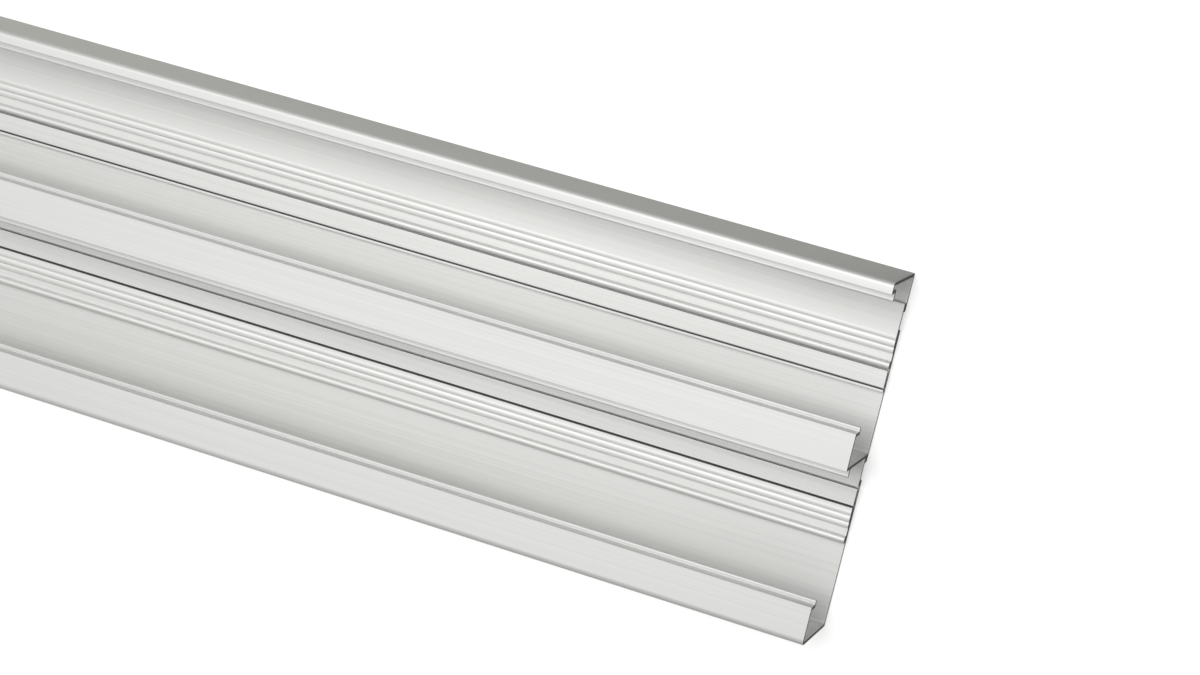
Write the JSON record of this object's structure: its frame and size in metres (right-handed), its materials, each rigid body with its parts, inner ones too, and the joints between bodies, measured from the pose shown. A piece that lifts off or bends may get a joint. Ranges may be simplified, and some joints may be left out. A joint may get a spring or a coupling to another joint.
{
  "type": "aluminium cable duct",
  "caption": "Open aluminium wall duct for cables, with a dividing web, front flanges that take snap-in lids and ridged device rails on the inside of its back plate.",
  "frame": {"origin": "middle of the back plate's outer face", "axes": "+X along the length, +Y towards the duct's top wall, +Z from the wall side to the front faces"},
  "size_m": [2, 0.2, 0.05],
  "materials": {
    "anodised_aluminium": "satin, natural anodised"
  },
  "bodies": {
    "root": {"duct_profile": "anodised_aluminium"}
  },
  "joints": []
}
